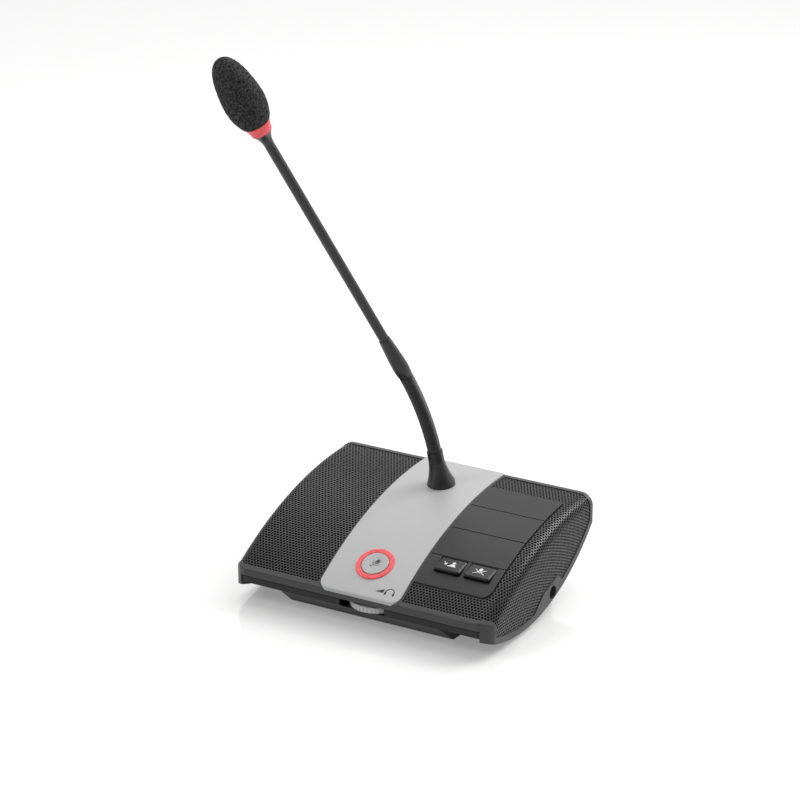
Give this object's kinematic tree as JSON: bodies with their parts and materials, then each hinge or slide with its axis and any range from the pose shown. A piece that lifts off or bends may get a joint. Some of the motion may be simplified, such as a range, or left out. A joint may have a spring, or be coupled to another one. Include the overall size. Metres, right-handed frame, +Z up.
{
  "type": "conference delegate unit",
  "caption": "Desk conference unit: crowned housing with grilles, centre panel, talk button, keys, volume wheel and a jointed gooseneck microphone with a foam windshield.",
  "frame": {"origin": "on the desk, under the middle of the housing, at the lowest level of the rubber feet", "axes": "+X to the unit's right side, +Y to its back, +Z up; the user sits on the -Y side"},
  "size_m": [0.1955, 0.1515, 0.366],
  "materials": {
    "housing": "fine grain charcoal",
    "housing_lower": "fine grain charcoal",
    "grille": "perforated sheet, satin",
    "panel": "silver paint, satin",
    "light_ring": "translucent red",
    "button": "silver paint, satin",
    "switch": "moulded",
    "board": "solder mask",
    "screw": "zinc",
    "lamp": "clear resin",
    "key_plate": "satin charcoal",
    "key_mat": "silicone",
    "neck": "satin black",
    "bright_metal": "nickel plated",
    "collar": "satin black",
    "socket": "moulded",
    "chip": "moulded",
    "gasket": "closed cell foam",
    "basket": "black zinc",
    "paper_cone": "pressed paper",
    "magnet": "ferrite",
    "weight": "plain steel",
    "foot": "soft rubber",
    "sleeve": "satin black",
    "stem": "satin black",
    "element": "plain",
    "foam": "open cell foam",
    "key": "satin black",
    "wheel": "light grey"
  },
  "bodies": {
    "base": {"upper_housing": "housing", "base_shell": "housing_lower", "grille_left": "grille", "grille_right": "grille", "centre_panel": "panel", "button_light_ring": "light_ring", "button_switch": "switch", "control_board": "board", "control_screws": "screw", "ring_lamps": "lamp", "key_plate": "key_plate", "key_mat": "key_mat", "key_switches": "switch", "neck_root": "neck", "neck_nut": "bright_metal", "cone_collar": "collar", "volume_pot": "socket", "volume_board": "board", "board_screws": "screw", "main_board": "board", "board_chips": "chip", "network_sockets": "socket", "headphone_jack": "socket", "speaker_gasket": "gasket", "speaker_basket": "basket", "speaker_cone": "paper_cone", "speaker_magnet": "magnet", "speaker_screws": "screw", "weight_plate": "weight", "rubber_feet": "foot", "housing_screws": "screw"},
    "neck_link_1": {"neck_link_1": "neck"},
    "neck_link_2": {"neck_link_2": "neck"},
    "neck_link_3": {"neck_link_3": "neck"},
    "neck_link_4": {"neck_link_4": "neck"},
    "neck_link_5": {"neck_link_5": "neck"},
    "microphone": {"neck_sleeve": "sleeve", "stem_tube": "stem", "capsule_neck": "collar", "mic_light_ring": "light_ring", "mic_capsule": "bright_metal", "capsule_element": "element", "foam_windshield": "foam"},
    "mic_button": {"mic_button": "button"},
    "key_left": {"key_left": "key"},
    "key_right": {"key_right": "key"},
    "volume_wheel": {"volume_wheel": "wheel", "volume_spindle": "bright_metal"}
  },
  "joints": [
    {"name": "neck_bend_1", "type": "hinge", "parent": "base", "child": "neck_link_1", "pos_m": [-0.00321, 0.03389, 0.08754], "axis": [0.766, -0.6428, 0], "range_deg": [-20, 20]},
    {"name": "neck_bend_2", "type": "hinge", "parent": "neck_link_1", "child": "neck_link_2", "pos_m": [-0.00498, 0.03179, 0.0984], "axis": [0.6145, 0.7323, 0.2935], "range_deg": [-20, 20]},
    {"name": "neck_bend_3", "type": "hinge", "parent": "neck_link_2", "child": "neck_link_3", "pos_m": [-0.00709, 0.02927, 0.1091], "axis": [0.766, -0.6428, 0], "range_deg": [-20, 20]},
    {"name": "neck_bend_4", "type": "hinge", "parent": "neck_link_3", "child": "neck_link_4", "pos_m": [-0.00954, 0.02635, 0.11963], "axis": [0.5924, 0.706, 0.3881], "range_deg": [-20, 20]},
    {"name": "neck_bend_5", "type": "hinge", "parent": "neck_link_4", "child": "neck_link_5", "pos_m": [-0.01234, 0.02302, 0.12995], "axis": [0.766, -0.6428, 0], "range_deg": [-20, 20]},
    {"name": "neck_bend_6", "type": "hinge", "parent": "neck_link_5", "child": "microphone", "pos_m": [-0.01546, 0.01929, 0.14004], "axis": [0.5644, 0.6726, 0.4787], "range_deg": [-20, 20]},
    {"name": "mic_button_press", "type": "slide", "parent": "base", "child": "mic_button", "axis": [0, 0.4339, -0.901], "range_m": [0, 0.0008], "stiffness_N_per_m": 1200, "springref_m": -0.0006},
    {"name": "key_left_press", "type": "slide", "parent": "base", "child": "key_left", "axis": [0, 0.3894, -0.9211], "range_m": [0, 0.001], "stiffness_N_per_m": 1000, "springref_m": -0.0006},
    {"name": "key_right_press", "type": "slide", "parent": "base", "child": "key_right", "axis": [0, 0.3894, -0.9211], "range_m": [0, 0.001], "stiffness_N_per_m": 1000, "springref_m": -0.0006},
    {"name": "volume_turn", "type": "hinge", "parent": "base", "child": "volume_wheel", "pos_m": [0.0045, -0.0538, 0.0165], "axis": [0, 0, 1], "range_deg": [-140, 140]}
  ]
}
